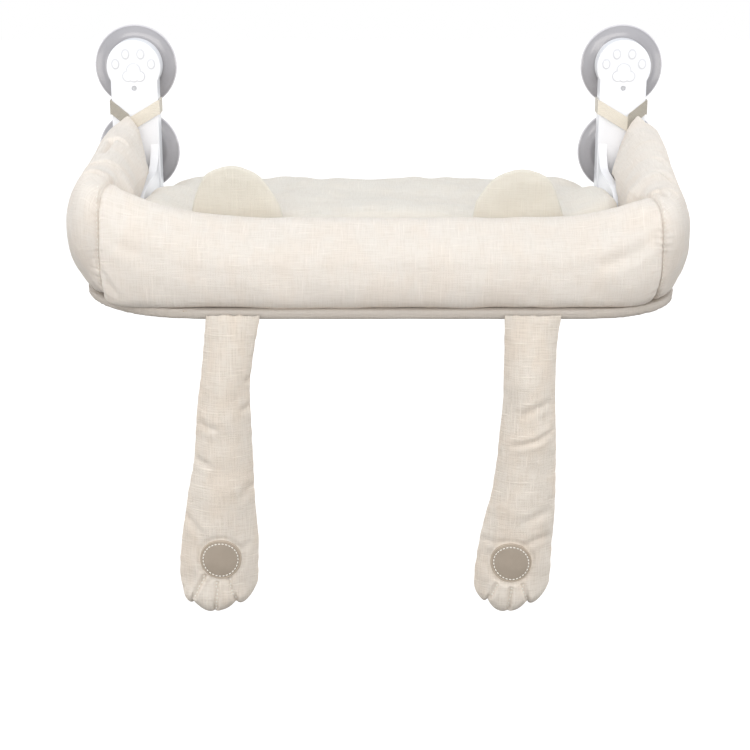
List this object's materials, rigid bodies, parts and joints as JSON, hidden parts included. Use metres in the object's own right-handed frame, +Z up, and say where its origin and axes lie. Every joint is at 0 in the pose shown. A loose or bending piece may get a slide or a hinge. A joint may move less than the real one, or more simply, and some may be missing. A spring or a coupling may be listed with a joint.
{
  "type": "window mounted cat perch",
  "caption": "Padded cat bed with raised bolsters, ear flaps and two hanging stuffed paws, held on a window by two L brackets with suction cups.",
  "frame": {"origin": "on the window glass, on the midline, level with the underside of the base", "axes": "+Z up, -Y from the glass into the room, +X to the right seen from the room"},
  "size_m": [0.557, 0.3182, 0.4865],
  "materials": {
    "board": "plain plywood",
    "cover_cloth": "plain woven cloth",
    "linen": "slub linen",
    "pad_linen": "slub linen",
    "leg_linen": "slub linen",
    "ear_cloth": "short napped cloth",
    "strap_web": "flat cotton tape",
    "paw_leather": "smooth taupe leather with a stitched ring",
    "bracket": "glossy white moulding",
    "cup_vinyl": "translucent grey vinyl",
    "zinc_steel": "zinc plated"
  },
  "bodies": {
    "bed": {"base_board": "board", "base_cover": "cover_cloth", "bracket_left": "bracket", "bracket_right": "bracket", "cup_nuts": "zinc_steel", "cup_studs": "zinc_steel", "cup_washers": "zinc_steel", "foot_bolts": "zinc_steel", "front_bolster": "linen", "rear_plate_left": "bracket", "rear_plate_right": "bracket", "seat_pad": "pad_linen", "shell_screws": "zinc_steel", "side_bolster_left": "linen", "side_bolster_right": "linen", "strap_left": "strap_web", "strap_right": "strap_web", "suction_cup_lower_left": "cup_vinyl", "suction_cup_lower_right": "cup_vinyl", "suction_cup_upper_left": "cup_vinyl", "suction_cup_upper_right": "cup_vinyl", "tee_nuts": "zinc_steel"},
    "ear_l": {"ear_left": "ear_cloth"},
    "ear_r": {"ear_right": "ear_cloth"},
    "leg_l": {"leg_left": "leg_linen", "paw_pad_left": "paw_leather"},
    "leg_r": {"leg_right": "leg_linen", "paw_pad_right": "paw_leather"}
  },
  "joints": [
    {"name": "ear_left_fold", "type": "hinge", "parent": "bed", "child": "ear_l", "pos_m": [-0.122, -0.2272, 0.0645], "axis": [-1, 0, 0], "range_deg": [0, 60], "stiffness_Nm_per_rad": 0.03},
    {"name": "ear_right_fold", "type": "hinge", "parent": "bed", "child": "ear_r", "pos_m": [0.122, -0.2297, 0.0645], "axis": [-1, 0, 0], "range_deg": [0, 60], "stiffness_Nm_per_rad": 0.03},
    {"name": "leg_left_swing", "type": "hinge", "parent": "bed", "child": "leg_l", "pos_m": [-0.1235, -0.3031, 0.005], "axis": [-1, 0, 0], "range_deg": [-10, 80]},
    {"name": "leg_right_swing", "type": "hinge", "parent": "bed", "child": "leg_r", "pos_m": [0.1308, -0.3031, 0.005], "axis": [-1, 0, 0], "range_deg": [-10, 80]}
  ]
}
